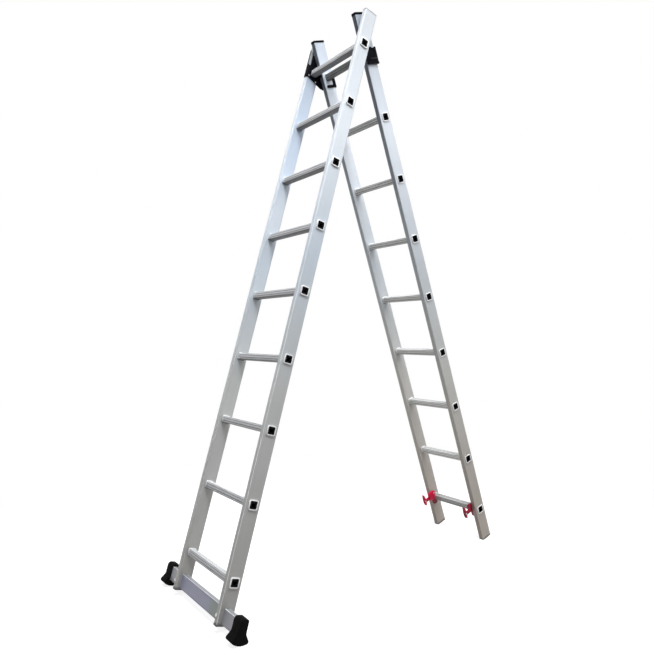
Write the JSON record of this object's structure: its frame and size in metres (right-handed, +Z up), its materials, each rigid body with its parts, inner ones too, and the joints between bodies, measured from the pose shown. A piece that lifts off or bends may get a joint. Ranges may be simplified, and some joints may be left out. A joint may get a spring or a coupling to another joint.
{
  "type": "multi position ladder",
  "caption": "Two-section aluminium ladder that stands as an A-frame, folds flat or extends, with a wide footed bar, steel hinge brackets and sprung rung hooks.",
  "frame": {"origin": "on the ground, in the middle of the open ladder's width and depth", "axes": "+Z up, +X to the ladder's right seen from its base section, +Y from the base section's foot towards the fly section's foot"},
  "size_m": [0.664, 1.5612, 2.4685],
  "materials": {
    "stile_aluminium": "satin",
    "rung_aluminium": "satin",
    "bar_aluminium": "satin",
    "zinc_steel": "bright",
    "black_steel": "satin",
    "black_rubber": "matte",
    "black_plastic": "matte",
    "dark_plastic": "matte",
    "pale_plastic": "matte",
    "crimson_plastic": "semi-gloss"
  },
  "bodies": {
    "base_section": {"base_stile_left": "stile_aluminium", "base_stile_right": "stile_aluminium", "base_rung_1": "rung_aluminium", "base_rung_2": "rung_aluminium", "base_rung_3": "rung_aluminium", "base_rung_4": "rung_aluminium", "base_rung_5": "rung_aluminium", "base_rung_6": "rung_aluminium", "base_rung_7": "rung_aluminium", "base_rung_8": "rung_aluminium", "base_rung_9": "rung_aluminium", "base_top_cap_left": "pale_plastic", "base_top_cap_right": "pale_plastic", "stile_end_plug_left": "black_plastic", "stile_end_plug_right": "black_plastic", "stabilizer_bar": "bar_aluminium", "stabilizer_foot_left": "black_rubber", "stabilizer_foot_right": "black_rubber", "bar_bolt_left": "zinc_steel", "bar_bolt_right": "zinc_steel", "bar_nut_left": "zinc_steel", "bar_nut_right": "zinc_steel", "hinge_plate_left": "black_steel", "hinge_plate_right": "black_steel", "plate_rivet_front_left": "zinc_steel", "plate_rivet_rear_left": "zinc_steel", "plate_rivet_front_right": "zinc_steel", "plate_rivet_rear_right": "zinc_steel"},
    "guide_sleeves": {"guide_sleeve_left": "black_steel", "guide_sleeve_right": "black_steel", "pivot_rivet_left": "zinc_steel", "pivot_rivet_right": "zinc_steel"},
    "fly_section": {"fly_stile_left": "stile_aluminium", "fly_stile_right": "stile_aluminium", "fly_rung_1": "rung_aluminium", "fly_rung_2": "rung_aluminium", "fly_rung_3": "rung_aluminium", "fly_rung_4": "rung_aluminium", "fly_rung_5": "rung_aluminium", "fly_rung_6": "rung_aluminium", "fly_rung_7": "rung_aluminium", "fly_rung_8": "rung_aluminium", "fly_rung_9": "rung_aluminium", "fly_top_cap_left": "black_plastic", "fly_top_cap_right": "black_plastic", "stile_clip_left": "black_plastic", "stile_clip_right": "black_plastic", "fly_foot_left": "dark_plastic", "fly_foot_right": "dark_plastic", "latch_hook_left": "crimson_plastic", "latch_hook_right": "crimson_plastic", "hook_rivet_left": "zinc_steel", "hook_rivet_right": "zinc_steel", "tongue_pin_left": "zinc_steel", "tongue_pin_right": "zinc_steel", "tongue_spring_left": "zinc_steel", "tongue_spring_right": "zinc_steel"},
    "tongue_left": {"safety_tongue_left": "crimson_plastic"},
    "tongue_right": {"safety_tongue_right": "crimson_plastic"}
  },
  "joints": [
    {"name": "fold", "type": "hinge", "parent": "base_section", "child": "guide_sleeves", "pos_m": [0, 0.03853, 2.30606], "axis": [-1, 0, 0], "range_deg": [0, 34.7]},
    {"name": "fly_slide", "type": "slide", "parent": "guide_sleeves", "child": "fly_section", "axis": [0, -0.3024, 0.9532], "range_m": [0, 1.4]},
    {"name": "tongue_left", "type": "hinge", "parent": "fly_section", "child": "tongue_left", "pos_m": [-0.1409, 0.62094, 0.14695], "axis": [-1, 0, 0], "range_deg": [0, 35], "stiffness_Nm_per_rad": 0.08, "springref_deg": -22.92},
    {"name": "tongue_right", "type": "hinge", "parent": "fly_section", "child": "tongue_right", "pos_m": [0.1409, 0.62094, 0.14695], "axis": [-1, 0, 0], "range_deg": [0, 35], "stiffness_Nm_per_rad": 0.08, "springref_deg": -22.92}
  ]
}
